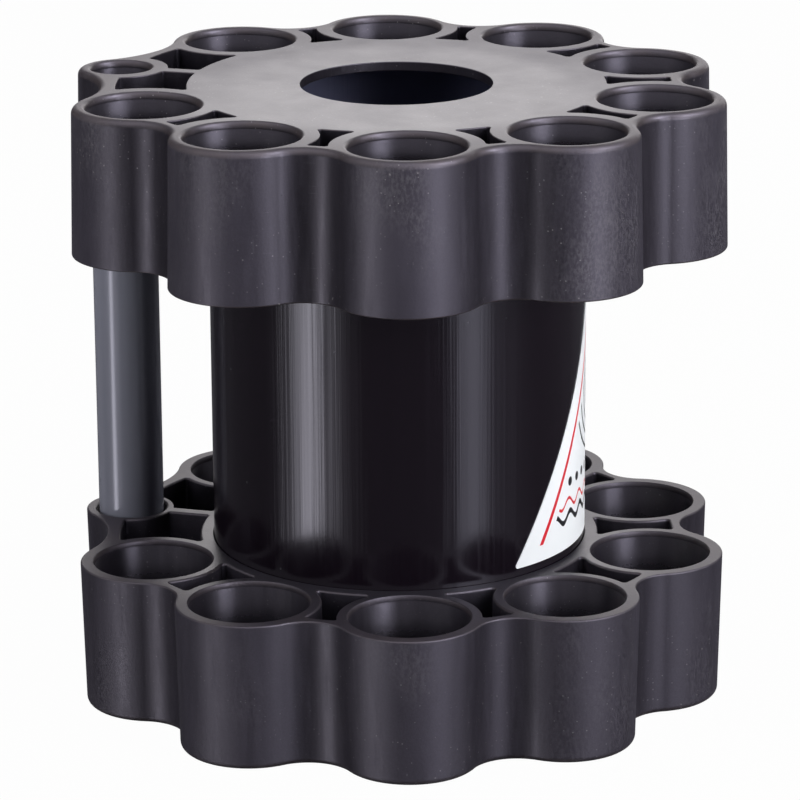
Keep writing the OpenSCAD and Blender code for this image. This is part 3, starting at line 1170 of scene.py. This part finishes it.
def card(name, azimuth, half_width, low, high, strength, tint, soft):
    """An upright sheet of light that only gloss sees, fading towards its two sides."""
    ray = towards(azimuth)
    side = Vector((-ray.y, ray.x, 0))
    reach = CARD_AWAY * math.tan(math.radians(half_width))
    corners = []
    for way, rise in ((-1, low), (1, low), (1, high), (-1, high)):
        z = CARD_AWAY * math.tan(math.radians(rise))
        corners.append(ray * CARD_AWAY + side * way * reach + Vector((0, 0, z)))
    made, nodes = sheet(name, corners)
    uv = made.data.uv_layers.new(name="across")
    for i, corner in enumerate(((0, 0), (1, 0), (1, 1), (0, 1))):
        uv.data[i].uv = corner
    ramp = nodes.node("ShaderNodeValToRGB")
    ramp.color_ramp.interpolation = "EASE"
    stops = ramp.color_ramp.elements
    stops[0].position, stops[0].color = 0.0, colour(0, 0, 0)
    stops[1].position, stops[1].color = 1.0, colour(0, 0, 0)
    for position in (soft, 1 - soft):
        stops.new(position).color = tint
    across = nodes.parts(nodes.node("ShaderNodeUVMap").outputs["UV"])[0]
    nodes.link(across, ramp.inputs["Fac"])
    light = nodes.node("ShaderNodeEmission")
    nodes.link(ramp.outputs["Color"], light.inputs["Color"])
    light.inputs["Strength"].default_value = strength
    both = nodes.node("ShaderNodeAddShader")
    nodes.link(light.outputs[0], both.inputs[0])
    nodes.link(nodes.node("ShaderNodeBsdfTransparent").outputs[0], both.inputs[1])
    nodes.show(both)
    made.visible_camera = False
    made.visible_diffuse = False
    made.visible_transmission = False
    made.visible_shadow = False


def make_floor():
    """White to the eye, but for a share that keeps the shadow.

    Gloss passes through it and finds the world's dark lower half.
    """
    edge = FLOOR_REACH
    corners = [(-edge, -edge, 0), (edge, -edge, 0), (edge, edge, 0), (-edge, edge, 0)]
    floor, nodes = sheet("floor", corners)
    floor.location.z = -FLOOR_DROP
    path = nodes.node("ShaderNodeLightPath")
    seen = nodes.larger(path.outputs["Is Camera Ray"], path.outputs["Is Glossy Ray"])
    seen = nodes.larger(seen, path.outputs["Is Transmission Ray"])
    matt = nodes.node("ShaderNodeBsdfDiffuse")
    matt.inputs["Color"].default_value = FLOOR_GREY
    white = nodes.node("ShaderNodeEmission")
    nodes.show(nodes.either(nodes.times(seen, FLOOR_WHITE), matt, white))
    floor.visible_glossy = False


def make_world():
    """White to the eye. In gloss a studio, light in front and above, dark below and behind."""
    world = bpy.data.worlds.new("studio")
    bpy.context.scene.world = world
    world.use_nodes = True
    nodes = Nodes(world.node_tree)
    path = nodes.node("ShaderNodeLightPath")
    way = nodes.node("ShaderNodeTexCoord").outputs["Generated"]

    def lean(direction, low, high):
        """How far a ray leans towards a direction."""
        made = nodes.node("ShaderNodeVectorMath", operation="DOT_PRODUCT")
        nodes.link(way, made.inputs[0])
        made.inputs[1].default_value = direction
        return nodes.span(made.outputs["Value"], low, high)

    sky = Vector((0, 0, 1))
    front = nodes.blend(lean(sky, *TOP_LEAN), GLOSS_FRONT, GLOSS_TOP)
    above = nodes.blend(lean(towards(180), *BACK_LEAN), front, GLOSS_BACK)
    gloss = nodes.blend(lean(sky, *LEVEL_LEAN), GLOSS_LOW, above)
    studio = nodes.node("ShaderNodeBackground")
    studio.inputs["Color"].default_value = COOL
    strength = nodes.blend(path.outputs["Is Glossy Ray"], AMBIENT, gloss)
    nodes.link(strength, studio.inputs["Strength"])
    backdrop = nodes.node("ShaderNodeBackground")
    backdrop.inputs["Color"].default_value = WHITE
    eye = nodes.larger(path.outputs["Is Camera Ray"], path.outputs["Is Transmission Ray"])
    nodes.show(nodes.either(eye, studio, backdrop), "ShaderNodeOutputWorld")


def make_studio():
    make_floor()
    make_world()
    for name, settings in LAMPS.items():
        lamp(name, *settings)
    for name, settings in CARDS.items():
        card(name, *settings)


make_camera()
upper_piece, lower_piece = make_rings()
black = [ring_plastic("moulded_black", False), ring_plastic("moulded_black_bore", True)]
dress(upper_piece, black, "upper_ring")
dress(lower_piece, black, "lower_ring")
pipe = tube_mesh("centre_tube_pipe", 0, TUBE_R, PIPE_WALL, tube_low.z, tube_high.z, PIPE_EDGE)
dress(pipe, [pipe_plastic()], "centre_tube")
handle_z = (handle_low.z, handle_high.z)
grip = tube_mesh("handle_tube_pipe", HANDLE_X, HANDLE_R, HANDLE_WALL, *handle_z, HANDLE_EDGE)
dress(grip, [handle_plastic()], "handle_tube")
sticker = make_label()
dress(sticker, [label_vinyl()], "label")
make_studio()
bpy.context.scene.view_settings.view_transform = "Standard"
